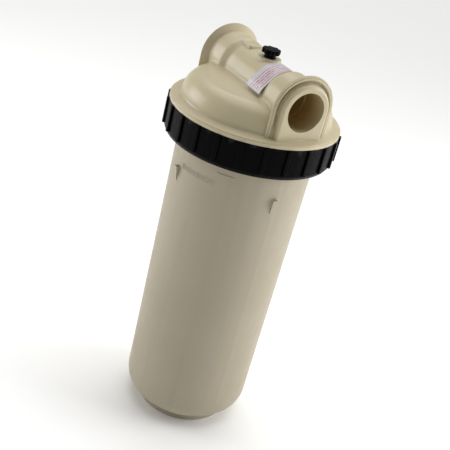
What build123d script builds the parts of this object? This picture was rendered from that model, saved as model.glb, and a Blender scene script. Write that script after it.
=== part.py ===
from build123d import *
import os
from math import cos, radians, sin

# Cartridge filter housing, millimetres. Z is up along the canister, the two pipe
# ports lie along X, and the origin is the centre of the foot's resting face.

# ------------------------------------------------------------ shared clearances
RUN_GAP = 0.3  # between pieces that move past each other
PRESS_GAP = 0.05  # between pieces that are pushed together for good

# ------------------------------------------------------------ canister
FOOT_R = 63.9
FOOT_WALL = 4.4
BASE_Z = 13.6
BASE_CORNER_R = 19.8
BASE_CORNER_H = 24.4
WALL = 4.0
WALL_LOW_R = 84.96
WALL_HIGH_R = 87.8
FLANGE_BOTTOM_Z = 406.5
FLANGE_TOP_Z = 414.5
FLANGE_R = 99.6
FLANGE_BLEND = 2.0
SEAL_R = 93.4
SEAL_SECTION_R = 2.5
SEAL_STAND_OUT = 0.15  # how far the seal stands above the flange
CATCH_COUNT = 4
CATCH_ANGLE = -2.5
CATCH_TOP_Z = 367.5
CATCH_HEIGHT = 20.0
CATCH_STAND_OUT = 4.6  # beyond the wall, more than the lock ring's lip
CATCH_WIDTH = 5.6
CATCH_TIP = 0.8  # width of the pointed lower end
CATCH_ROOT = 2.0  # how far a catch is sunk into the wall
POST_R = 26.5
POST_WALL = 3.0
POST_TOP_Z = 58.0
FIN_COUNT = 6
FIN_THICKNESS = 3.0
DRAIN_FACE_Z = 12.0
DRAIN_BOSS_R = 16.0
DRAIN_BOSS_TOP_Z = 26.0
DRAIN_R = 9.5

# ------------------------------------------------------------ head
SOCKET_R = 24.28  # solvent socket for 1-1/2 inch pipe, 48.26 mm outside
SOCKET_DEPTH = 38.0
BORE_R = 22.4
PORT_Z = 482.9
PORT_FACE_X = 95.3
SKIRT_R = 99.4
SKIRT_INNER_R = 88.6
SKIRT_BOTTOM_Z = FLANGE_TOP_Z + RUN_GAP
RIM_R = 107.4
RIM_BOTTOM_Z = 441.9
RIM_TOP_Z = 446.0
LEDGE_R = 106.2
LEDGE_Z = 446.9
DOME_BASE_R = 94.4
DOME_BASE_Z = 449.1
DOME_SHOULDER = (92.5, 478.0)
DOME_SHOULDER_FILLET = 25.0
DOME_TOP_Z = 481.0
LEDGE_FILLET = 4.0  # between the ledge and the dome
DOME_WALL = 4.5
PIPE_R = 29.2
HUB_R = 33.5
HUB_START_X = 44.0
HUB_END_X = 53.5
HUB_FILLET = 9.0
BLEND_R = 5.0  # where the pipe grows out of the dome
ARCH_R = 41.8
ARCH_BACK_X = 80.0  # where the arch's sloping back grows out of the hub
ARCH_CREST_X = 86.2
ARCH_FRONT_X = 87.4
ARCH_EDGE = 0.9
ARCH_LEG_BOTTOM_Z = 443.5
BEAD_OUTER_R = 39.3
BEAD_INNER_R = 36.2
BEAD_TOP_X = 88.6
BEAD_EDGE = 1.1
GROOVE_X = 85.2
COLLAR_R = 32.4
COLLAR_EDGE = 4.0
DIVIDER_X = 24.0
DIVIDER_WALL = 4.0
INLET_DROP_X = 44.0
INLET_DROP_R = 13.0
PAD_START_X = -58.0
PAD_END_X = -31.0
PAD_WIDTH = 19.0
PAD_TOP_Z = 515.0
PAD_CORNER = 3.0
PAD_EDGE = 1.2
BOSS_R = 14.7
BOSS_TOP_Z = 512.9
BOSS_EDGE = 0.8

# ------------------------------------------------------------ outlet nozzle
NOZZLE_R = 26.5
NOZZLE_BORE_R = 22.5
NOZZLE_BOTTOM_Z = 362.0
NOZZLE_COLLAR_R = 30.5
NOZZLE_SOCKET_R = 31.0
NOZZLE_SEAT_Z = 437.0
NOZZLE_TOP_Z = 450.0

# ------------------------------------------------------------ air relief screw
RELIEF_STEM_R = 7.2
RELIEF_SHANK_R = 5.0
RELIEF_SHANK_LENGTH = 9.5
RELIEF_SEAT_DEPTH = 2.4
RELIEF_SEAL_R = 6.25
SMALL_SEAL_SECTION_R = 1.1
KNOB_R = 11.4
KNOB_BOTTOM_Z = 518.3
KNOB_TOP_Z = 523.6
KNOB_LOBES = 8
KNOB_NOTCH_R = 2.6
KNOB_DISH_SPHERE_R = 22.0
KNOB_DISH_DEPTH = 1.4

# ------------------------------------------------------------ label
LABEL_START_X = 15.0
LABEL_END_X = 46.5
LABEL_GLUE = 0.2
LABEL_THICKNESS = 0.3
LABEL_FIRST_ANGLE = -40.0  # about the port axis, from straight up towards -Y
LABEL_LAST_ANGLE = 86.5  # just above the blend into the dome

# ------------------------------------------------------------ drain plug
PLUG_FLANGE_R = 14.0
PLUG_FLANGE_BOTTOM_Z = 9.0
PLUG_HEX_ACROSS_FLATS = 22.0
PLUG_BOTTOM_Z = 4.6
PLUG_SEAL_R = 11.6
PLUG_GROOVE_DEPTH = 2.25

# ------------------------------------------------------------ lock ring
RING_BOTTOM_Z = 402.0
RING_TOP_Z = RIM_BOTTOM_Z - RUN_GAP
RING_BOTTOM_R = 104.5
RING_R = 107.4
RING_BAND_Z = 407.0
RING_BORE_R = 102.2
RING_LIP_R = 90.8
RING_LIP_TOP_Z = FLANGE_BOTTOM_Z - RUN_GAP
RIB_COUNT = 24
RIB_ANGLE = 6.5
RIB_BOTTOM_Z = 407.5
RIB_TOP_Z = 441.0
RIB_WIDTH = 5.4
RIB_R = 110.2
RIB_EDGE = 0.9

# Lock ring thread: three starts, right handed
THREAD_STARTS = 3
THREAD_PITCH = 6.0
THREAD_LEAD = THREAD_STARTS * THREAD_PITCH
THREAD_HEIGHT = 1.9
THREAD_ROOT = 0.5  # how far a ridge is sunk into its wall
THREAD_BASE_WIDTH = 3.0
THREAD_CREST_WIDTH = 1.4
THREAD_BOTTOM_Z = 419.5
THREAD_TURNS_HEIGHT = 17.0

# ------------------------------------------------------------ cartridge
CARTRIDGE_BOTTOM_Z = 40.0
CARTRIDGE_TOP_Z = 378.0
CARTRIDGE_R = 62.5
CARTRIDGE_HOLE_R = 27.0
CAP_THICKNESS = 10.0
PLEAT_COUNT = 60
PLEAT_OUTER_R = 60.2
PLEAT_INNER_R = 31.0
PLEAT_SHEET = 1.0
CORE_R = 29.4
CORE_WALL = 2.4
CORE_HOLE_R = 4.0
CORE_HOLE_ROWS = 14
CORE_HOLES_AROUND = 8
BAND_HEIGHT = 7.0
BAND_THICKNESS = 1.0
BAND_SPACING = 84.0

PORT_AXIS = Axis((0, 0, PORT_Z), (1, 0, 0))

os.makedirs("parts", exist_ok=True)


# ============================================================ shared outlines
def thread_outline(wall_r, direction):
    """Corners of one thread ridge on a wall; direction is 1 for outside, -1 for inside."""
    root = wall_r - THREAD_ROOT * direction
    crest = wall_r + THREAD_HEIGHT * direction
    return [
        (root, THREAD_BOTTOM_Z - THREAD_BASE_WIDTH / 2),
        (crest, THREAD_BOTTOM_Z - THREAD_CREST_WIDTH / 2),
        (crest, THREAD_BOTTOM_Z + THREAD_CREST_WIDTH / 2),
        (root, THREAD_BOTTOM_Z + THREAD_BASE_WIDTH / 2),
    ]


def near(x, y):
    """A test for sketch vertices at (x, y), on either side of the Z axis."""
    return lambda v: abs(abs(v.X) - x) < 0.01 and abs(v.Y - y) < 0.01


def arch_outline(radius):
    """A circle about the port axis with straight legs that end inside the rim."""
    with Locations((0, PORT_Z)):
        Circle(radius)
    with Locations((0, (PORT_Z + ARCH_LEG_BOTTOM_Z) / 2)):
        Rectangle(2 * radius, PORT_Z - ARCH_LEG_BOTTOM_Z)


# ============================================================ head
# Port pipe with a wider hub at each end
with BuildPart() as pipe_body:
    with BuildSketch(Plane.XZ) as pipe_outline:
        with BuildLine():
            Polyline(
                (-ARCH_FRONT_X, PORT_Z),
                (-ARCH_FRONT_X, PORT_Z + HUB_R),
                (-HUB_END_X, PORT_Z + HUB_R),
                (-HUB_START_X, PORT_Z + PIPE_R),
                (HUB_START_X, PORT_Z + PIPE_R),
                (HUB_END_X, PORT_Z + HUB_R),
                (ARCH_FRONT_X, PORT_Z + HUB_R),
                (ARCH_FRONT_X, PORT_Z),
                close=True,
            )
        make_face()
        corners = pipe_outline.vertices()
        fillet(corners.filter_by(near(HUB_START_X, PORT_Z + PIPE_R)), HUB_FILLET)
        corners = pipe_outline.vertices()
        fillet(corners.filter_by(near(HUB_END_X, PORT_Z + HUB_R)), HUB_FILLET)
    revolve(axis=PORT_AXIS)

# Arch at the +X port: a sloping back, a bead, a groove, and the collar round the socket
with BuildPart() as port_arch:
    with BuildSketch(Plane.YZ.offset(ARCH_BACK_X)):
        arch_outline(HUB_R)
    with BuildSketch(Plane.YZ.offset(ARCH_CREST_X)):
        arch_outline(ARCH_R)
    loft(ruled=True)
    with BuildSketch(Plane.YZ.offset(ARCH_CREST_X)):
        arch_outline(ARCH_R)
    extrude(amount=ARCH_FRONT_X - ARCH_CREST_X)
    fillet(port_arch.edges().group_by(Axis.X)[-1], ARCH_EDGE)
    with BuildSketch(Plane.YZ.offset(ARCH_FRONT_X)):
        arch_outline(BEAD_OUTER_R)
    extrude(amount=BEAD_TOP_X - ARCH_FRONT_X)
    with BuildSketch(Plane.YZ.offset(GROOVE_X)):
        arch_outline(BEAD_INNER_R)
    extrude(amount=BEAD_TOP_X - GROOVE_X, mode=Mode.SUBTRACT)
    fillet(port_arch.edges().group_by(Axis.X)[-1], BEAD_EDGE)
    with BuildSketch(Plane.YZ.offset(GROOVE_X)):
        arch_outline(COLLAR_R)
    extrude(amount=PORT_FACE_X - GROOVE_X)
    fillet(port_arch.edges().group_by(Axis.X)[-1], COLLAR_EDGE)

# Raised pad between the boss and the -X hub
with BuildPart() as raised_pad:
    with BuildSketch(Plane.XY.offset(PORT_Z + BORE_R)):
        with Locations(((PAD_START_X + PAD_END_X) / 2, 0)):
            Rectangle(PAD_END_X - PAD_START_X, PAD_WIDTH)
    extrude(amount=PAD_TOP_Z - PORT_Z - BORE_R)
    fillet(raised_pad.edges().filter_by(Axis.Z), PAD_CORNER)
    fillet(raised_pad.edges().group_by(Axis.Z)[-1], PAD_EDGE)

# Round boss under the relief screw
with BuildPart() as relief_boss:
    with BuildSketch(Plane.XY.offset(PORT_Z + BORE_R)):
        Circle(BOSS_R)
    extrude(amount=BOSS_TOP_Z - PORT_Z - BORE_R)
    fillet(relief_boss.edges().group_by(Axis.Z)[-1], BOSS_EDGE)

# Space under the dome, around the pipe and around the nozzle socket
with BuildPart() as head_cavity:
    with BuildSketch(Plane.XZ) as cavity_outline:
        shoulder = (DOME_SHOULDER[0] - DOME_WALL, DOME_SHOULDER[1] - DOME_WALL)
        with BuildLine():
            Polyline(
                (0, SKIRT_BOTTOM_Z - 1),
                (SKIRT_INNER_R, SKIRT_BOTTOM_Z - 1),
                (SKIRT_INNER_R, RIM_BOTTOM_Z),
                (DOME_BASE_R - DOME_WALL, DOME_BASE_Z),
                shoulder,
                (0, DOME_TOP_Z - DOME_WALL),
                close=True,
            )
        make_face()
        fillet(
            cavity_outline.vertices().sort_by_distance(shoulder)[0],
            DOME_SHOULDER_FILLET - DOME_WALL,
        )
    revolve(axis=Axis.Z)
    add(pipe_body.part, mode=Mode.SUBTRACT)
    with BuildSketch(Plane.XY.offset(NOZZLE_SEAT_Z)):
        Circle(NOZZLE_SOCKET_R)
    extrude(amount=PORT_Z - NOZZLE_SEAT_Z, mode=Mode.SUBTRACT)

# One start of the thread outside the skirt
with BuildPart() as head_thread:
    with BuildLine() as head_helix:
        Helix(THREAD_LEAD, THREAD_TURNS_HEIGHT, SKIRT_R, center=(0, 0, THREAD_BOTTOM_Z))
    with BuildSketch(Plane.XZ):
        with BuildLine():
            Polyline(thread_outline(SKIRT_R, 1), close=True)
        make_face()
    sweep(path=head_helix.line, is_frenet=True)

with BuildPart() as head:
    # Dome, rim and threaded skirt, solid so far
    with BuildSketch(Plane.XZ) as head_outline:
        with BuildLine():
            Polyline(
                (0, SKIRT_BOTTOM_Z),
                (SKIRT_R, SKIRT_BOTTOM_Z),
                (SKIRT_R, RIM_BOTTOM_Z),
                (RIM_R, RIM_BOTTOM_Z),
                (RIM_R, RIM_TOP_Z - 0.5),
                (RIM_R - 0.5, RIM_TOP_Z),
                (LEDGE_R + 0.2, RIM_TOP_Z),
                (LEDGE_R, LEDGE_Z),
                (DOME_BASE_R, DOME_BASE_Z),
                DOME_SHOULDER,
                (0, DOME_TOP_Z),
                close=True,
            )
        make_face()
        fillet(
            head_outline.vertices().sort_by_distance(DOME_SHOULDER)[0],
            DOME_SHOULDER_FILLET,
        )
        ledge_corner = (DOME_BASE_R, DOME_BASE_Z)
        fillet(head_outline.vertices().sort_by_distance(ledge_corner)[0], LEDGE_FILLET)
    revolve(axis=Axis.Z)
    add(pipe_body.part)
    blend_edges = head.edges().filter_by(
        lambda e: abs(e.center().Y) > 20
        and e.bounding_box().max.Z < PORT_Z
        and e.bounding_box().min.Z > DOME_BASE_Z + 2
    )
    fillet(blend_edges, BLEND_R)

    # Port arches, the raised pad and the boss of the relief screw
    add(port_arch.part)
    add(port_arch.part, rotation=(0, 0, 180))
    add(raised_pad.part)
    add(relief_boss.part)

    # Hollow it, then bore the two sockets and the flow passages
    add(head_cavity.part, mode=Mode.SUBTRACT)
    for side, depth in (
        (1, PORT_FACE_X - DIVIDER_X - DIVIDER_WALL),
        (-1, PORT_FACE_X + DIVIDER_X),
    ):
        port_face = Plane((side * PORT_FACE_X, 0, PORT_Z), z_dir=(side, 0, 0))
        with Locations(port_face):
            CounterBoreHole(BORE_R, SOCKET_R, SOCKET_DEPTH, depth)
    with Locations((0, 0, NOZZLE_SEAT_Z)):
        Cylinder(
            NOZZLE_R + PRESS_GAP,
            NOZZLE_TOP_Z - NOZZLE_SEAT_Z,
            align=(Align.CENTER, Align.CENTER, Align.MIN),
            mode=Mode.SUBTRACT,
        )
        Cylinder(
            NOZZLE_BORE_R,
            PORT_Z - NOZZLE_SEAT_Z,
            align=(Align.CENTER, Align.CENTER, Align.MIN),
            mode=Mode.SUBTRACT,
        )
    with Locations((INLET_DROP_X, 0, DOME_BASE_Z)):
        Cylinder(
            INLET_DROP_R,
            PORT_Z - DOME_BASE_Z,
            align=(Align.CENTER, Align.CENTER, Align.MIN),
            mode=Mode.SUBTRACT,
        )
    with Locations((0, 0, BOSS_TOP_Z)):
        CounterBoreHole(
            RELIEF_SHANK_R + RUN_GAP,
            RELIEF_STEM_R + RUN_GAP,
            RELIEF_SEAT_DEPTH,
            BOSS_TOP_Z - PORT_Z,
        )
    with PolarLocations(0, THREAD_STARTS):
        add(head_thread.part)
head.part.label = "head"
export_step(head.part, "parts/head.step")

# Nozzle pressed into the head from below; it carries clean water up out of the cartridge
with BuildPart() as outlet_nozzle:
    with BuildSketch(Plane.XZ):
        with BuildLine():
            Polyline(
                (NOZZLE_BORE_R, NOZZLE_BOTTOM_Z),
                (NOZZLE_R - 1.5, NOZZLE_BOTTOM_Z),
                (NOZZLE_R, NOZZLE_BOTTOM_Z + 4),
                (NOZZLE_R, NOZZLE_SEAT_Z - 4),
                (NOZZLE_COLLAR_R, NOZZLE_SEAT_Z - 4),
                (NOZZLE_COLLAR_R, NOZZLE_SEAT_Z),
                (NOZZLE_R, NOZZLE_SEAT_Z),
                (NOZZLE_R, NOZZLE_TOP_Z),
                (NOZZLE_BORE_R, NOZZLE_TOP_Z),
                close=True,
            )
        make_face()
    revolve(axis=Axis.Z)
outlet_nozzle.part.label = "outlet_nozzle"
export_step(outlet_nozzle.part, "parts/outlet_nozzle.step")

# Rubber ring between the head's skirt and the canister's flange
SEAL_Z = FLANGE_TOP_Z - SEAL_SECTION_R + SEAL_STAND_OUT
with BuildPart() as head_o_ring:
    with BuildSketch(Plane.XZ):
        with Locations((SEAL_R, SEAL_Z)):
            Circle(SEAL_SECTION_R)
    revolve(axis=Axis.Z)
head_o_ring.part.label = "head_o_ring"
export_step(head_o_ring.part, "parts/head_o_ring.step")

# Printed label wrapped over the pipe, between the boss and the +X hub
with BuildPart() as label:
    first_angle = radians(LABEL_FIRST_ANGLE)
    first_edge = Plane(
        (0, 0, PORT_Z), x_dir=(1, 0, 0), z_dir=(0, -cos(first_angle), -sin(first_angle))
    )
    label_rise = (HUB_R - PIPE_R) / (HUB_END_X - HUB_START_X) * (LABEL_END_X - HUB_START_X)
    with BuildSketch(first_edge) as label_outline:
        inner_r = PIPE_R + LABEL_GLUE
        outer_r = inner_r + LABEL_THICKNESS
        with BuildLine():
            Polyline(
                (LABEL_START_X, inner_r),
                (HUB_START_X, inner_r),
                (LABEL_END_X, inner_r + label_rise),
                (LABEL_END_X, outer_r + label_rise),
                (HUB_START_X, outer_r),
                (LABEL_START_X, outer_r),
                close=True,
            )
        make_face()
        bends = label_outline.vertices().filter_by(lambda v: abs(v.X - HUB_START_X) < 0.01)
        fillet(bends, HUB_FILLET - LABEL_GLUE - LABEL_THICKNESS)
    revolve(axis=PORT_AXIS, revolution_arc=LABEL_LAST_ANGLE - LABEL_FIRST_ANGLE)
label.part.label = "label"
export_step(label.part, "parts/label.step")

# ============================================================ air relief
with BuildPart() as air_relief_screw:
    # Shank and stem, turned about the Z axis
    with BuildSketch(Plane.XZ):
        with BuildLine():
            Polyline(
                (0, BOSS_TOP_Z - RELIEF_SHANK_LENGTH),
                (RELIEF_SHANK_R - 1, BOSS_TOP_Z - RELIEF_SHANK_LENGTH),
                (RELIEF_SHANK_R, BOSS_TOP_Z - RELIEF_SHANK_LENGTH + 1),
                (RELIEF_SHANK_R, BOSS_TOP_Z + PRESS_GAP),
                (RELIEF_STEM_R, BOSS_TOP_Z + PRESS_GAP),
                (RELIEF_STEM_R - 0.3, KNOB_BOTTOM_Z),
                (0, KNOB_BOTTOM_Z),
                close=True,
            )
        make_face()
    revolve(axis=Axis.Z)
    # Lobed knob with a dished top
    with BuildSketch(Plane.XY.offset(KNOB_BOTTOM_Z)) as knob_outline:
        Circle(KNOB_R)
        with PolarLocations(KNOB_R + KNOB_NOTCH_R * 0.45, KNOB_LOBES):
            Circle(KNOB_NOTCH_R, mode=Mode.SUBTRACT)
        fillet(knob_outline.vertices(), 0.9)
    extrude(amount=KNOB_TOP_Z - KNOB_BOTTOM_Z)
    fillet(air_relief_screw.faces().sort_by(Axis.Z)[-1].edges(), 0.8)
    with Locations((0, 0, KNOB_TOP_Z + KNOB_DISH_SPHERE_R - KNOB_DISH_DEPTH)):
        Sphere(KNOB_DISH_SPHERE_R, mode=Mode.SUBTRACT)
air_relief_screw.part.label = "air_relief_screw"
export_step(air_relief_screw.part, "parts/air_relief_screw.step")

RELIEF_SEAL_Z = BOSS_TOP_Z - RELIEF_SEAT_DEPTH + SMALL_SEAL_SECTION_R + PRESS_GAP
with BuildPart() as relief_o_ring:
    with BuildSketch(Plane.XZ):
        with Locations((RELIEF_SEAL_R, RELIEF_SEAL_Z)):
            Circle(SMALL_SEAL_SECTION_R)
    revolve(axis=Axis.Z)
relief_o_ring.part.label = "relief_o_ring"
export_step(relief_o_ring.part, "parts/relief_o_ring.step")

# ============================================================ canister
# Snap catch: an arrowhead whose flat top keeps the lock ring on
with BuildPart() as ring_catch:
    root_x = WALL_HIGH_R - CATCH_ROOT
    with BuildSketch(Plane.XY.offset(CATCH_TOP_Z)):
        with Locations((root_x, 0)):
            Rectangle(
                CATCH_ROOT + CATCH_STAND_OUT, CATCH_WIDTH, align=(Align.MIN, Align.CENTER)
            )
    with BuildSketch(Plane.XY.offset(CATCH_TOP_Z - CATCH_HEIGHT)):
        with Locations((root_x, 0)):
            Rectangle(CATCH_ROOT, CATCH_TIP, align=(Align.MIN, Align.CENTER))
    loft(ruled=True)

with BuildPart() as canister:
    # Outside: flat base, elliptical corner, drafted wall, clamping flange
    with BuildSketch(Plane.XZ):
        with BuildLine():
            base_r = WALL_LOW_R - BASE_CORNER_R
            wall_start_z = BASE_Z + BASE_CORNER_H
            Line((0, BASE_Z), (base_r, BASE_Z))
            EllipticalCenterArc(
                (base_r, wall_start_z),
                BASE_CORNER_R,
                BASE_CORNER_H,
                start_angle=-90,
                arc_size=90,
            )
            Polyline(
                (WALL_LOW_R, wall_start_z),
                (WALL_HIGH_R, FLANGE_BOTTOM_Z - FLANGE_BLEND),
                (WALL_HIGH_R + FLANGE_BLEND, FLANGE_BOTTOM_Z),
                (FLANGE_R, FLANGE_BOTTOM_Z),
                (FLANGE_R, FLANGE_TOP_Z),
                (0, FLANGE_TOP_Z),
                (0, BASE_Z),
            )
        make_face()
    revolve(axis=Axis.Z)
    # Inside, one wall thickness in
    with BuildSketch(Plane.XZ):
        with BuildLine():
            Line((0, BASE_Z + WALL), (base_r, BASE_Z + WALL))
            EllipticalCenterArc(
                (base_r, wall_start_z),
                BASE_CORNER_R - WALL,
                BASE_CORNER_H - WALL,
                start_angle=-90,
                arc_size=90,
            )
            Polyline(
                (WALL_LOW_R - WALL, wall_start_z),
                (WALL_HIGH_R - WALL, FLANGE_TOP_Z),
                (0, FLANGE_TOP_Z),
                (0, BASE_Z + WALL),
            )
        make_face()
    revolve(axis=Axis.Z, mode=Mode.SUBTRACT)
    # Foot skirt below, drain boss in the middle
    with BuildSketch(Plane.XY):
        Circle(FOOT_R)
        Circle(FOOT_R - FOOT_WALL, mode=Mode.SUBTRACT)
    extrude(amount=BASE_Z + 1)
    with BuildSketch(Plane.XY.offset(DRAIN_FACE_Z)):
        Circle(DRAIN_BOSS_R)
    extrude(amount=DRAIN_BOSS_TOP_Z - DRAIN_FACE_Z)
    # Post that centres the cartridge, and the fins that it stands on
    with BuildSketch(Plane.XY.offset(BASE_Z + WALL / 2)):
        Circle(POST_R)
        Circle(POST_R - POST_WALL, mode=Mode.SUBTRACT)
    extrude(amount=POST_TOP_Z - BASE_Z - WALL / 2)
    with BuildSketch(Plane.XY.offset(BASE_Z + WALL / 2)):
        with PolarLocations((POST_R + CARTRIDGE_R) / 2, FIN_COUNT):
            Rectangle(CARTRIDGE_R - POST_R + 2, FIN_THICKNESS)
    extrude(amount=CARTRIDGE_BOTTOM_Z - RUN_GAP - BASE_Z - WALL / 2)
    # Drain hole, seal groove, ring catches
    with Locations((0, 0, DRAIN_FACE_Z)):
        Cylinder(
            DRAIN_R,
            DRAIN_BOSS_TOP_Z - DRAIN_FACE_Z,
            align=(Align.CENTER, Align.CENTER, Align.MIN),
            mode=Mode.SUBTRACT,
        )
    groove_depth = 2 * SEAL_SECTION_R - SEAL_STAND_OUT + PRESS_GAP
    with BuildSketch(Plane.XY.offset(FLANGE_TOP_Z)):
        Circle(SEAL_R + SEAL_SECTION_R + PRESS_GAP)
        Circle(SEAL_R - SEAL_SECTION_R - PRESS_GAP, mode=Mode.SUBTRACT)
    extrude(amount=-groove_depth, mode=Mode.SUBTRACT)
    with PolarLocations(0, CATCH_COUNT, start_angle=CATCH_ANGLE):
        add(ring_catch.part)
canister.part.label = "canister"
export_step(canister.part, "parts/canister.step")

# ============================================================ drain
with BuildPart() as drain_plug:
    plug_top = DRAIN_FACE_Z - RUN_GAP
    with BuildSketch(Plane.XY.offset(PLUG_BOTTOM_Z)):
        RegularPolygon(PLUG_HEX_ACROSS_FLATS / 2, 6, major_radius=False)
    extrude(amount=PLUG_FLANGE_BOTTOM_Z - PLUG_BOTTOM_Z)
    chamfer(drain_plug.edges().group_by(Axis.Z)[0], 0.8)
    with BuildSketch(Plane.XY.offset(PLUG_FLANGE_BOTTOM_Z)):
        Circle(PLUG_FLANGE_R)
    extrude(amount=plug_top - PLUG_FLANGE_BOTTOM_Z)
    with BuildSketch(Plane.XY.offset(plug_top)):
        Circle(PLUG_SEAL_R + SMALL_SEAL_SECTION_R + PRESS_GAP)
        Circle(PLUG_SEAL_R - SMALL_SEAL_SECTION_R - PRESS_GAP, mode=Mode.SUBTRACT)
    extrude(amount=-PLUG_GROOVE_DEPTH, mode=Mode.SUBTRACT)
    with BuildSketch(Plane.XY.offset(PLUG_FLANGE_BOTTOM_Z + 0.2)):
        Circle(DRAIN_R - RUN_GAP)
    extrude(amount=DRAIN_BOSS_TOP_Z - PLUG_FLANGE_BOTTOM_Z - 0.2)
    chamfer(drain_plug.edges().group_by(Axis.Z)[-1], 1.0)
drain_plug.part.label = "drain_plug"
export_step(drain_plug.part, "parts/drain_plug.step")

with BuildPart() as drain_o_ring:
    with BuildSketch(Plane.XZ):
        plug_seal_z = plug_top - PLUG_GROOVE_DEPTH + SMALL_SEAL_SECTION_R + PRESS_GAP
        with Locations((PLUG_SEAL_R, plug_seal_z)):
            Circle(SMALL_SEAL_SECTION_R)
    revolve(axis=Axis.Z)
drain_o_ring.part.label = "drain_o_ring"
export_step(drain_o_ring.part, "parts/drain_o_ring.step")

# ============================================================ lock ring
# One start of the thread inside the ring
with BuildPart() as ring_thread:
    with BuildLine() as ring_helix:
        Helix(
            THREAD_LEAD, THREAD_TURNS_HEIGHT, RING_BORE_R, center=(0, 0, THREAD_BOTTOM_Z)
        )
    with BuildSketch(Plane.XZ):
        with BuildLine():
            Polyline(thread_outline(RING_BORE_R, -1), close=True)
        make_face()
    sweep(path=ring_helix.line, is_frenet=True)

# Grip rib with a round lower end
with BuildPart() as grip_rib:
    with BuildSketch(Plane.YZ.offset(RING_R - 1.5)) as rib_outline:
        with Locations((0, (RIB_BOTTOM_Z + RIB_TOP_Z) / 2)):
            Rectangle(RIB_WIDTH, RIB_TOP_Z - RIB_BOTTOM_Z)
        fillet(rib_outline.vertices().group_by(Axis.Y)[0], RIB_WIDTH / 2 - 0.2)
        fillet(rib_outline.vertices().group_by(Axis.Y)[-1], 1.0)
    extrude(amount=RIB_R - RING_R + 1.5)
    fillet(grip_rib.faces().sort_by(Axis.X)[-1].edges(), RIB_EDGE)

with BuildPart() as lock_ring:
    with BuildSketch(Plane.XZ) as ring_outline:
        with BuildLine():
            Polyline(
                (RING_LIP_R, RING_BOTTOM_Z),
                (RING_BOTTOM_R, RING_BOTTOM_Z),
                (RING_R, RING_BAND_Z),
                (RING_R + 0.3, RING_TOP_Z),
                (RING_BORE_R, RING_TOP_Z),
                (RING_BORE_R, RING_LIP_TOP_Z),
                (RING_LIP_R, RING_LIP_TOP_Z),
                close=True,
            )
        make_face()
        bottom_corner = (RING_BOTTOM_R, RING_BOTTOM_Z)
        fillet(ring_outline.vertices().sort_by_distance(bottom_corner)[0], 1.5)
        fillet(ring_outline.vertices().sort_by_distance((RING_R, RING_BAND_Z))[0], 5.0)
    revolve(axis=Axis.Z)
    with PolarLocations(0, RIB_COUNT, start_angle=RIB_ANGLE):
        add(grip_rib.part)
    # Half a pitch of lift puts the ring's ridges midway between the head's
    half_pitch_turn = 360 * THREAD_PITCH / 2 / THREAD_LEAD
    with PolarLocations(0, THREAD_STARTS, start_angle=half_pitch_turn):
        add(ring_thread.part)
lock_ring.part.label = "lock_ring"
export_step(lock_ring.part, "parts/lock_ring.step")

# ============================================================ cartridge
def end_cap(bottom_z):
    """Moulded end cap: a flat washer with rounded outer edges."""
    with BuildPart() as cap:
        with BuildSketch(Plane.XY.offset(bottom_z)):
            Circle(CARTRIDGE_R)
            Circle(CARTRIDGE_HOLE_R, mode=Mode.SUBTRACT)
        extrude(amount=CAP_THICKNESS)
        rims = cap.edges().filter_by(GeomType.CIRCLE).sort_by(SortBy.RADIUS)[-2:]
        fillet(rims, 1.5)
    return cap


cartridge_bottom_cap = end_cap(CARTRIDGE_BOTTOM_Z)
cartridge_bottom_cap.part.label = "cartridge_bottom_cap"
export_step(cartridge_bottom_cap.part, "parts/cartridge_bottom_cap.step")

cartridge_top_cap = end_cap(CARTRIDGE_TOP_Z - CAP_THICKNESS)
cartridge_top_cap.part.label = "cartridge_top_cap"
export_step(cartridge_top_cap.part, "parts/cartridge_top_cap.step")

media_bottom_z = CARTRIDGE_BOTTOM_Z + CAP_THICKNESS
media_length = CARTRIDGE_TOP_Z - CARTRIDGE_BOTTOM_Z - 2 * CAP_THICKNESS

# Perforated core tube
with BuildPart() as cartridge_core:
    with BuildSketch(Plane.XY.offset(media_bottom_z)):
        Circle(CORE_R)
        Circle(CORE_R - CORE_WALL, mode=Mode.SUBTRACT)
    extrude(amount=media_length)
    row_pitch = media_length / CORE_HOLE_ROWS
    hole_angle = 360 / CORE_HOLES_AROUND
    for row in range(CORE_HOLE_ROWS):
        row_z = media_bottom_z + (row + 0.5) * row_pitch
        for step in range(CORE_HOLES_AROUND // 2):
            across = Rotation(0, 90, (step + row % 2 / 2) * hole_angle)
            with Locations(Pos(0, 0, row_z) * across):
                Cylinder(CORE_HOLE_R, 3 * CORE_R, mode=Mode.SUBTRACT)
cartridge_core.part.label = "cartridge_core"
export_step(cartridge_core.part, "parts/cartridge_core.step")


def fold_points():
    """Corners of the zigzag sheet, alternately inner and outer."""
    points = []
    for fold in range(2 * PLEAT_COUNT):
        fold_r = PLEAT_OUTER_R if fold % 2 else PLEAT_INNER_R
        angle = radians(fold * 180 / PLEAT_COUNT)
        points.append((fold_r * cos(angle), fold_r * sin(angle)))
    return points


# Pleated sheet: one closed zigzag, half its thickness to each side of the folds
with BuildPart() as cartridge_pleats:
    with BuildSketch(Plane.XY.offset(media_bottom_z)):
        with BuildLine():
            Polyline(*fold_points(), close=True)
        make_face()
        offset(amount=PLEAT_SHEET / 2)
        offset(amount=-PLEAT_SHEET, mode=Mode.SUBTRACT)
    extrude(amount=media_length)
cartridge_pleats.part.label = "cartridge_pleats"
export_step(cartridge_pleats.part, "parts/cartridge_pleats.step")


def pleat_band(centre_z):
    """Flat strap that holds the pleats in."""
    with BuildPart() as band:
        with BuildSketch(Plane.XY.offset(centre_z - BAND_HEIGHT / 2)):
            Circle(PLEAT_OUTER_R + PLEAT_SHEET / 2 + PRESS_GAP + BAND_THICKNESS)
            Circle(PLEAT_OUTER_R + PLEAT_SHEET / 2 + PRESS_GAP, mode=Mode.SUBTRACT)
        extrude(amount=BAND_HEIGHT)
    return band


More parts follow.
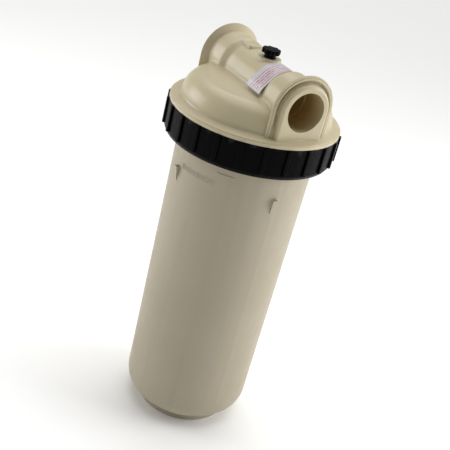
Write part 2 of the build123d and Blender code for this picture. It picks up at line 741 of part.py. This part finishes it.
middle_z = (CARTRIDGE_BOTTOM_Z + CARTRIDGE_TOP_Z) / 2
cartridge_band_lower = pleat_band(middle_z - BAND_SPACING)
cartridge_band_lower.part.label = "cartridge_band_lower"
export_step(cartridge_band_lower.part, "parts/cartridge_band_lower.step")

cartridge_band_middle = pleat_band(middle_z)
cartridge_band_middle.part.label = "cartridge_band_middle"
export_step(cartridge_band_middle.part, "parts/cartridge_band_middle.step")

cartridge_band_upper = pleat_band(middle_z + BAND_SPACING)
cartridge_band_upper.part.label = "cartridge_band_upper"
export_step(cartridge_band_upper.part, "parts/cartridge_band_upper.step")
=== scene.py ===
"""Looks for the cartridge filter housing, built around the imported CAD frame.

Metres, Z up, +X out of the inlet socket. The CAD nodes keep their shapes and only gain
materials. A label film and raised marks on the canister are the only pieces made here.
"""

import math

import bpy
from mathutils import Matrix, Vector

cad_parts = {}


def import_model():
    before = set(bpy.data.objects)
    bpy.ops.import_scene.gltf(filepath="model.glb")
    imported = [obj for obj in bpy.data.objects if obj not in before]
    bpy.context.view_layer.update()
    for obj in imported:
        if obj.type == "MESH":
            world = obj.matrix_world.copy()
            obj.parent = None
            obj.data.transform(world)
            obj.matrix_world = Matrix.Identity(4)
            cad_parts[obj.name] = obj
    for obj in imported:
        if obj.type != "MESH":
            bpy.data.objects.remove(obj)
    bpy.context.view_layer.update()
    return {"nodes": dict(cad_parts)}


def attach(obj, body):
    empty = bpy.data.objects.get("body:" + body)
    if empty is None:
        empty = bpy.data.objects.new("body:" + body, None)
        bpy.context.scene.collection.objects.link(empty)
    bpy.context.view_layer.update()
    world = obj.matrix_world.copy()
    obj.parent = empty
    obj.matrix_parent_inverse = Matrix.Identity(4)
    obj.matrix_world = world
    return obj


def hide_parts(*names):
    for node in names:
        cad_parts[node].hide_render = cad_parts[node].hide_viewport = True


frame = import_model()
nodes = frame["nodes"]

# The head's shape, as in the CAD
PORT_Z = 0.4829
PORT_FACE_X = 0.0953
SOCKET_R = 0.02428
PIPE_R = 0.0292
HUB_R = 0.0335
HUB_START_X = 0.0440
HUB_END_X = 0.0535
HUB_FILLET = 0.009

# The canister's drafted wall, as in the CAD
WALL_LOW_R, WALL_LOW_Z = 0.08496, 0.0380
WALL_HIGH_R, WALL_HIGH_Z = 0.0878, 0.4045

MIDDLE = Vector((0, 0, 0.28))  # what the area lights are aimed at


# ------------------------------------------------------------ node helpers
class Shader:
    """A material's node tree with short ways to add and join nodes."""

    def __init__(self, name, roughness, specular=0.5, coat=0.0):
        self.material = bpy.data.materials.new(name)
        self.material.use_nodes = True
        self.tree = self.material.node_tree
        self.surface = self.tree.nodes["Principled BSDF"]
        self.surface.inputs["Roughness"].default_value = roughness
        self.surface.inputs["Specular IOR Level"].default_value = specular
        self.surface.inputs["Coat Weight"].default_value = coat
        self.coords = self.add("ShaderNodeTexCoord").outputs["Object"]

    def add(self, kind, **settings):
        """A new node; settings are its own properties, not its sockets."""
        node = self.tree.nodes.new(kind)
        for key, value in settings.items():
            setattr(node, key, value)
        return node

    def join(self, source, target):
        self.tree.links.new(source, target)

    def stretched(self, scale):
        """The material's coordinates, scaled by a different amount along each axis."""
        mapping = self.add("ShaderNodeMapping")
        mapping.inputs["Scale"].default_value = scale
        self.join(self.coords, mapping.inputs["Vector"])
        return mapping.outputs["Vector"]

    def noise(self, scale, detail=3.0, coords=None, distortion=0.0):
        """Soft random values round 0.5."""
        node = self.add("ShaderNodeTexNoise")
        node.inputs["Scale"].default_value = scale
        node.inputs["Detail"].default_value = detail
        node.inputs["Distortion"].default_value = distortion
        self.join(coords or self.coords, node.inputs["Vector"])
        return node.outputs["Fac"]

    def cells(self, scale):
        """Distance to the nearest of many scattered points."""
        node = self.add("ShaderNodeTexVoronoi")
        node.inputs["Scale"].default_value = scale
        self.join(self.coords, node.inputs["Vector"])
        return node.outputs["Distance"]

    def dust(self, scale):
        """Small round specks, thicker in some places than in others."""
        specks = self.remap(self.cells(scale), 0.05, 0.012)
        patchy = self.remap(self.noise(30, 2), 0.5, 0.7, 0.0, 0.5)
        return self.math("MULTIPLY", specks, patchy)

    def remap(self, value, low, high, to_low=0.0, to_high=1.0):
        """Maps low..high onto to_low..to_high, held at both ends."""
        node = self.add("ShaderNodeMapRange", clamp=True)
        for key, number in (
            ("From Min", low),
            ("From Max", high),
            ("To Min", to_low),
            ("To Max", to_high),
        ):
            node.inputs[key].default_value = number
        self.join(value, node.inputs["Value"])
        return node.outputs["Result"]

    def math(self, operation, first, second=0):
        """One sum on sockets or numbers; some operations, such as SQRT, need only first."""
        node = self.add("ShaderNodeMath", operation=operation)
        for socket, value in zip(node.inputs, (first, second)):
            if isinstance(value, (int, float)):
                socket.default_value = value
            else:
                self.join(value, socket)
        return node.outputs["Value"]

    def mix(self, share, first, second):
        """Colour mix; share is a socket, first and second are colours or sockets."""
        node = self.add("ShaderNodeMix", data_type="RGBA")
        self.join(share, node.inputs["Factor"])
        # The node has an A, a B and a Result for each data type; these are the colours
        for socket, value in ((node.inputs[6], first), (node.inputs[7], second)):
            if isinstance(value, tuple):
                socket.default_value = (*value, 1.0)
            else:
                self.join(value, socket)
        return node.outputs[2]

    def edges(self, low, high):
        """Rises from 0 to 1 on sharp outer edges."""
        pointiness = self.add("ShaderNodeNewGeometry").outputs["Pointiness"]
        return self.remap(pointiness, low, high)

    def bump(self, height, distance, strength=1.0, under=None):
        """Relief from the socket height, distance metres deep, on top of the bump under."""
        node = self.add("ShaderNodeBump")
        node.inputs["Distance"].default_value = distance
        node.inputs["Strength"].default_value = strength
        self.join(height, node.inputs["Height"])
        if under is not None:
            self.join(under, node.inputs["Normal"])
        return node.outputs["Normal"]

    def finish(self, colour=None, roughness=None, normal=None):
        """Joins the sockets that are given to the surface and returns the material."""
        for name, socket in (
            ("Base Color", colour),
            ("Roughness", roughness),
            ("Normal", normal),
        ):
            if socket is not None:
                self.join(socket, self.surface.inputs[name])
        return self.material


def srgb(red, green, blue):
    """A screen colour, 0 to 255, as the linear colour that the shaders use."""
    channels = []
    for value in (red, green, blue):
        value /= 255
        if value <= 0.04045:
            channels.append(value / 12.92)
        else:
            channels.append(((value + 0.055) / 1.055) ** 2.4)
    return tuple(channels)


def paint(name, material):
    """Gives a CAD node its material."""
    slots = nodes[name].data.materials
    slots.clear()
    slots.append(material)


# ------------------------------------------------------------ materials
def head_plastic():
    """Glossy cream moulding with faint flow marks, fine dust, a little handling wear and
    painted shade deep in the pipe sockets.
    """
    s = Shader("cream_gloss_plastic", roughness=0.32, specular=0.36, coat=0.12)
    clouds = s.noise(9, 4)
    flow = s.noise(6, 3, s.stretched((1.0, 1.0, 2.5)))
    colour = s.mix(s.remap(clouds, 0.3, 0.7), srgb(192, 181, 148), srgb(200, 189, 158))
    colour = s.mix(s.remap(flow, 0.4, 0.7, 0.0, 0.4), colour, srgb(192, 177, 153))
    colour = s.mix(s.dust(420), colour, srgb(150, 140, 112))
    colour = s.mix(s.edges(0.6, 0.8), colour, srgb(222, 212, 184))
    # Painted shade: the colour darkens to olive brown deep inside the pipe sockets
    colour = s.mix(painted_socket_shade(s), colour, srgb(166, 138, 76))
    rough = s.remap(s.noise(60, 4), 0.3, 0.75, 0.28, 0.42)
    peel = s.bump(s.noise(900, 2), 0.00003, 0.6)
    waves = s.bump(s.noise(40, 3), 0.0004, 0.12, peel)
    return s.finish(colour, rough, waves)


def painted_socket_shade(s):
    """0 outside the pipe sockets, rising to 1 deep inside, where olive brown shade is
    painted.
    """
    split = s.add("ShaderNodeSeparateXYZ")
    s.join(s.coords, split.inputs["Vector"])
    height = s.math("SUBTRACT", split.outputs["Z"], PORT_Z)
    squares = [s.math("MULTIPLY", v, v) for v in (split.outputs["Y"], height)]
    from_axis = s.math("SQRT", s.math("ADD", *squares))
    inside = s.remap(from_axis, SOCKET_R + 0.0004, SOCKET_R + 0.0001)
    depth = s.math("SUBTRACT", PORT_FACE_X, s.math("ABSOLUTE", split.outputs["X"]))
    return s.math("MULTIPLY", inside, s.remap(depth, 0.001, 0.026, 0.15, 0.9))


def canister_plastic():
    """Matte beige moulding: fine spark texture, vertical draw marks, specks and scuffs."""
    s = Shader("beige_matte_plastic", roughness=0.55)
    clouds = s.noise(7, 5)
    draw = s.noise(60, 4, s.stretched((1.0, 1.0, 0.04)))
    colour = s.mix(s.remap(clouds, 0.3, 0.7), srgb(167, 157, 135), srgb(175, 165, 144))
    colour = s.mix(s.remap(draw, 0.5, 0.75, 0.0, 0.3), colour, srgb(157, 148, 125))
    specks = s.remap(s.cells(120), 0.045, 0.02)
    patchy = s.remap(s.noise(24, 2), 0.56, 0.66)
    colour = s.mix(s.math("MULTIPLY", specks, patchy), colour, srgb(120, 106, 82))
    colour = s.mix(s.edges(0.6, 0.8), colour, srgb(192, 184, 164))
    rough = s.remap(s.noise(80, 4), 0.3, 0.75, 0.46, 0.62)
    grain = s.bump(s.noise(1600, 2), 0.00005, 0.7)
    scuffs = s.bump(draw, 0.0003, 0.15, grain)
    return s.finish(colour, rough, scuffs)


def black_plastic():
    """Satin black moulding with painted highlights on its sharp edges, and fine scratches
    round the ring.
    """
    s = Shader("black_satin_plastic", roughness=0.3, specular=0.04)
    clouds = s.noise(20, 4)
    colour = s.mix(s.remap(clouds, 0.3, 0.7), srgb(3, 3, 4), srgb(6, 6, 7))
    # Painted highlight: sharp edges turn grey, standing in for light caught on them
    colour = s.mix(s.edges(0.56, 0.66), colour, srgb(70, 70, 72))
    scratches = s.noise(240, 3, s.stretched((1.0, 1.0, 9.0)))
    rough = s.remap(scratches, 0.35, 0.7, 0.27, 0.45)
    grain = s.bump(s.noise(1400, 2), 0.00004, 0.6)
    return s.finish(colour, rough, grain)


def rubber():
    """Black rubber of the three seals."""
    s = Shader("seal_rubber", roughness=0.6)
    colour = s.mix(s.noise(120, 3), srgb(18, 18, 18), srgb(34, 33, 32))
    rough = s.remap(s.noise(200, 3), 0.3, 0.7, 0.5, 0.7)
    return s.finish(colour, rough, s.bump(s.noise(900, 3), 0.00005, 0.8))


def nozzle_plastic():
    """Plain dark grey moulding."""
    s = Shader("grey_plastic", roughness=0.45)
    colour = s.mix(s.noise(16, 4), srgb(92, 94, 98), srgb(112, 114, 118))
    rough = s.remap(s.noise(90, 3), 0.3, 0.7, 0.38, 0.52)
    return s.finish(colour, rough, s.bump(s.noise(1100, 2), 0.00004, 0.7))


def cap_urethane():
    """Cast blue polyurethane of the cartridge's ends."""
    s = Shader("blue_urethane", roughness=0.5)
    colour = s.mix(s.noise(28, 5), srgb(46, 82, 128), srgb(62, 100, 146))
    rough = s.remap(s.noise(120, 3), 0.3, 0.7, 0.42, 0.6)
    return s.finish(colour, rough, s.bump(s.noise(700, 4), 0.00008, 0.7))


def core_plastic():
    """White moulding of the cartridge's perforated core."""
    s = Shader("core_plastic", roughness=0.5)
    colour = s.mix(s.noise(24, 3), srgb(206, 206, 202), srgb(222, 222, 219))
    rough = s.remap(s.noise(100, 3), 0.3, 0.7, 0.42, 0.58)
    return s.finish(colour, rough, s.bump(s.noise(1000, 2), 0.00004, 0.6))


def filter_cloth():
    """Spun-bonded polyester: random fibres and a light dimple pattern."""
    s = Shader("spunbond_polyester", roughness=0.85)
    s.surface.inputs["Sheen Weight"].default_value = 0.25
    fibres = s.noise(1500, 5, distortion=2.0)
    colour = s.mix(fibres, srgb(226, 226, 222), srgb(240, 240, 238))
    colour = s.mix(s.remap(s.noise(18, 4), 0.45, 0.75, 0.0, 0.3), colour, srgb(214, 209, 196))
    rough = s.remap(fibres, 0.3, 0.7, 0.75, 0.95)
    dimples = s.bump(s.cells(900), 0.0002, 0.4)
    return s.finish(colour, rough, s.bump(fibres, 0.0001, 0.8, dimples))


def band_plastic():
    """Pale blue-grey straps round the pleats."""
    s = Shader("band_plastic", roughness=0.5)
    colour = s.mix(s.noise(90, 3), srgb(176, 182, 190), srgb(194, 199, 206))
    rough = s.remap(s.noise(140, 3), 0.3, 0.7, 0.42, 0.58)
    return s.finish(colour, rough, s.bump(s.noise(900, 3), 0.00006, 0.7))


cream = head_plastic()
beige = canister_plastic()
black = black_plastic()
seal = rubber()

paint("head", cream)
paint("canister", beige)
paint("lock_ring", black)
paint("air_relief_screw", black)
paint("drain_plug", black)
paint("outlet_nozzle", nozzle_plastic())
for name in ("head_o_ring", "relief_o_ring", "drain_o_ring"):
    paint(name, seal)
cap = cap_urethane()
paint("cartridge_top_cap", cap)
paint("cartridge_bottom_cap", cap)
paint("cartridge_core", core_plastic())
paint("cartridge_pleats", filter_cloth())
band = band_plastic()
for place in ("lower", "middle", "upper"):
    paint(f"cartridge_band_{place}", band)


# ------------------------------------------------------------ pieces made here
def new_piece(name, points, faces, material, smooth=True):
    """A mesh object of one material, from its points and faces."""
    mesh = bpy.data.meshes.new(name)
    mesh.from_pydata(points, [], faces)
    mesh.polygons.foreach_set("use_smooth", [smooth] * len(mesh.polygons))
    mesh.materials.append(material)
    piece = bpy.data.objects.new(name, mesh)
    bpy.context.scene.collection.objects.link(piece)
    return piece


def ease(value, low, high):
    """0 below low, 1 above high, and a smooth rise between them."""
    share = min(max((value - low) / (high - low), 0.0), 1.0)
    return share * share * (3 - 2 * share)


def label_print():
    """Pale film with two printed lines and rows of broken strokes that spell nothing."""
    s = Shader("label_film", roughness=0.3, specular=0.5)
    s.coords = s.add("ShaderNodeTexCoord").outputs["UV"]
    split = s.add("ShaderNodeSeparateXYZ")
    s.join(s.coords, split.inputs["Vector"])
    # Both from 0 to 1: across with the pipe's axis, along round the pipe
    across, along = split.outputs["X"], split.outputs["Y"]

    def between(value, low, high, soft):
        """1 from low to high and 0 elsewhere, with edges this soft."""
        rise = s.remap(value, low - soft, low + soft)
        fall = s.remap(value, high + soft, high - soft)
        return s.math("MULTIPLY", rise, fall)

    printed = between(along, 0.05, 0.96, 0.004)
    rows = s.math("FRACT", s.math("MULTIPLY", across, 8.0))
    row = between(rows, 0.25, 0.75, 0.08)
    block = between(across, 0.375, 0.75, 0.005)
    strokes = s.noise(1.0, 2, s.stretched((8.0, 42.0, 1.0)))
    strokes = s.remap(strokes, 0.43, 0.49)
    dashes = s.math("MULTIPLY", s.math("MULTIPLY", row, block), strokes)
    left_line = between(across, 0.26, 0.30, 0.006)
    right_line = between(across, 0.79, 0.83, 0.006)
    lines = s.math("MAXIMUM", left_line, right_line)
    ink = s.math("MULTIPLY", s.math("MAXIMUM", dashes, lines), printed)
    fade = s.remap(s.noise(9, 3), 0.3, 0.7, 0.7, 1.0)
    paper = s.mix(s.noise(5, 4), srgb(197, 192, 197), srgb(206, 204, 212))
    colour = s.mix(s.math("MULTIPLY", ink, fade), paper, srgb(180, 84, 94))
    rough = s.remap(s.noise(22, 4), 0.3, 0.7, 0.24, 0.4)
    return s.finish(colour, rough, s.bump(s.noise(14, 3), 0.0004, 0.15))


def pipe_radius(x):
    """Outside of the port pipe: straight, then a rounded bend into the hub's flare."""
    slope = (HUB_R - PIPE_R) / (HUB_END_X - HUB_START_X)
    flare_angle = math.atan(slope)
    reach = HUB_FILLET * math.tan(flare_angle / 2)
    past_bend_start = x - HUB_START_X + reach
    if past_bend_start <= 0:
        return PIPE_R
    if x <= HUB_START_X + reach * math.cos(flare_angle):
        return PIPE_R + HUB_FILLET - math.sqrt(HUB_FILLET**2 - past_bend_start**2)
    return PIPE_R + slope * (x - HUB_START_X)


def label_film():
    """Film round the pipe; it follows the hub's flare but its lower end has come unstuck."""
    columns, rows = 40, 120
    stand_off, thickness = 0.00045, 0.0002
    x_first, x_last = 0.0170, 0.0480
    angle_first, angle_last = -40, 90  # degrees from straight up, towards -Y
    loose_from, loose_by = 54, 95
    loose_lift, loose_slip = 0.0042, 0.003
    layers = []
    for offset in (stand_off, stand_off - thickness):
        layer = []
        for i in range(rows + 1):
            degrees = angle_first + (angle_last - angle_first) * i / rows
            angle = math.radians(degrees)
            loose = ease(degrees, loose_from, loose_by)
            for j in range(columns + 1):
                x = x_first + (x_last - x_first) * j / columns - loose_slip * loose
                radius = pipe_radius(x) + loose_lift * loose + offset
                layer.append(
                    (x, -radius * math.sin(angle), PORT_Z + radius * math.cos(angle))
                )
        layers.append(layer)
    # The outer and inner skins, then the strips that close the film's four edges
    width = columns + 1
    count = width * (rows + 1)
    faces = []
    for i in range(rows):
        for j in range(columns):
            a = i * width + j
            faces.append((a, a + width, a + width + 1, a + 1))
            faces.append(
                (count + a, count + a + 1, count + a + width + 1, count + a + width)
            )
    top_edge = range(width)
    end_edge = range(rows * width, count)
    left_edge = range(0, count, width)
    right_edge = range(columns, count, width)
    for edge, turned in (
        (top_edge, False),
        (end_edge, True),
        (left_edge, True),
        (right_edge, False),
    ):
        for a, b in zip(edge, edge[1:]):
            rim = (a, b, count + b, count + a)
            faces.append(rim[::-1] if turned else rim)
    piece = new_piece("label_film", layers[0] + layers[1], faces, label_print())
    uv = piece.data.uv_layers.new(name="print")
    for loop in piece.data.loops:
        index = loop.vertex_index % count
        uv.data[loop.index].uv = (index % width / columns, index // width / rows)
    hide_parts("label")
    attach(piece, "head")


def wall_radius(z):
    """Outside of the canister's drafted wall."""
    share = (z - WALL_LOW_Z) / (WALL_HIGH_Z - WALL_LOW_Z)
    return WALL_LOW_R + (WALL_HIGH_R - WALL_LOW_R) * share


def raised_pad(start, end, low_z, high_z):
    """Points and faces of a low pad with sloping sides on the wall; angles in degrees."""
    longest_step = 1.5
    steps = max(2, math.ceil((end - start) / longest_step))
    sunk, stand_out, slope = 0.0002, 0.0006, 0.0004
    slope_angle = math.degrees(slope / WALL_HIGH_R)
    points = []
    for inset, height in ((0, -sunk), (1, stand_out)):
        for z in (low_z + inset * slope, high_z - inset * slope):
            first = start + inset * slope_angle
            last = end - inset * slope_angle
            for i in range(steps + 1):
                angle = math.radians(first + (last - first) * i / steps)
                radius = wall_radius(z) + height
                points.append((radius * math.cos(angle), radius * math.sin(angle), z))
    # Four rows of points: in the wall and on the pad's top, each at the low and high end
    row = steps + 1
    low_root, high_root, low_top, high_top = (k * row for k in range(4))
    faces = []
    for i in range(steps):
        for near, far in ((low_root, low_top), (low_top, high_top), (high_top, high_root)):
            faces.append((near + i, near + i + 1, far + i + 1, far + i))
        faces.append((low_root + i, high_root + i, high_root + i + 1, low_root + i + 1))
    faces.append((low_root, low_top, high_top, high_root))
    faces.append(
        (low_root + steps, high_root + steps, high_top + steps, low_top + steps)
    )
    return points, faces


def moulded_marks(material):
    """A row of upright ticks and one long bar under the lock ring; they spell nothing."""
    tick_count, tick_step, tick_width = 16, 2.15, 0.95
    first_tick = -87.0
    row_z = 0.3725
    short_half, tall_half = 0.0029, 0.0041
    bar = (-52.5, -38.0, 0.3835, 0.3880)
    pads = []
    for k in range(tick_count):
        start = first_tick + k * tick_step
        half = tall_half if k % 4 == 0 else short_half
        pads.append((start, start + tick_width, row_z - half, row_z + half))
    all_points, all_faces = [], []
    for pad in (*pads, bar):
        points, faces = raised_pad(*pad)
        shift = len(all_points)
        all_points += points
        all_faces += [tuple(index + shift for index in face) for face in faces]
    piece = new_piece("canister_marks", all_points, all_faces, material, smooth=False)
    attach(piece, "canister")


label_film()
moulded_marks(beige)


# ------------------------------------------------------------ stage
def floor():
    """Plain pale floor, wide enough to fill every view."""
    mesh = bpy.data.meshes.new("floor")
    half = 30.0
    corners = [(-half, -half, 0), (half, -half, 0), (half, half, 0), (-half, half, 0)]
    mesh.from_pydata(corners, [], [(0, 1, 2, 3)])
    plate = bpy.data.objects.new("floor", mesh)
    bpy.context.scene.collection.objects.link(plate)
    s = Shader("floor_paint", roughness=0.8)
    colour = s.mix(s.noise(0.7, 3), srgb(249, 249, 248), srgb(252, 252, 251))
    plate.data.materials.append(s.finish(colour))


def direction(azimuth, elevation):
    """Unit vector towards a point at these angles; azimuth 0 is -Y and 90 is +X."""
    a, e = math.radians(azimuth), math.radians(elevation)
    return Vector((math.sin(a) * math.cos(e), -math.cos(a) * math.cos(e), math.sin(e)))


def aimed_lamp(name, data, back):
    """Puts a lamp in the scene that shines against the vector back."""
    lamp = bpy.data.objects.new(name, data)
    lamp.rotation_euler = back.to_track_quat("Z", "Y").to_euler()
    bpy.context.scene.collection.objects.link(lamp)
    return lamp


def area_light(name, azimuth, elevation, distance, size, power):
    """Square soft light, aimed at the middle of the housing."""
    back = direction(azimuth, elevation)
    data = bpy.data.lights.new(name, "AREA")
    data.shape = "SQUARE"
    data.size = size
    data.energy = power
    lamp = aimed_lamp(name, data, back)
    lamp.location = MIDDLE + distance * back


def sun_light(name, azimuth, elevation, spread, strength):
    """Light from far off, the same all over the floor; spread is how wide its disc is."""
    data = bpy.data.lights.new(name, "SUN")
    data.angle = math.radians(spread)
    data.energy = strength
    aimed_lamp(name, data, direction(azimuth, elevation))


def camera():
    """Looks down on the housing from the right, rolled so that the housing leans."""
    azimuth, elevation = 53.98, 27.18
    roll = math.radians(14.79)
    target = Vector((-0.00026, -0.00036, 0.280))
    distance = 1.13857
    back = direction(azimuth, elevation)
    level = direction(azimuth + 90, 0)
    upright = back.cross(level)
    right = math.cos(roll) * level + math.sin(roll) * upright
    up = math.cos(roll) * upright - math.sin(roll) * level
    data = bpy.data.cameras.new("camera")
    data.sensor_width = 36
    data.lens = 69.2
    data.clip_end = 100
    view = bpy.data.objects.new("camera", data)
    turn = Matrix((right, up, back)).transposed().to_4x4()
    view.matrix_world = Matrix.Translation(target + distance * back) @ turn
    bpy.context.scene.collection.objects.link(view)
    bpy.context.scene.camera = view


def world():
    """Even white surroundings, dim enough to leave the lamps in charge."""
    surroundings = bpy.data.worlds.new("studio")
    surroundings.use_nodes = True
    background = surroundings.node_tree.nodes["Background"]
    background.inputs["Color"].default_value = (1, 1, 1, 1)
    background.inputs["Strength"].default_value = 0.25
    bpy.context.scene.world = surroundings
    bpy.context.scene.view_settings.view_transform = "Standard"


floor()
world()
sun_light("overhead", 225, 66, 70, 2.1)
area_light("right_side", 150, 18, 1.5, 0.9, 15.8)
area_light("left_side", -45, 14, 1.5, 0.9, 10.3)
camera()
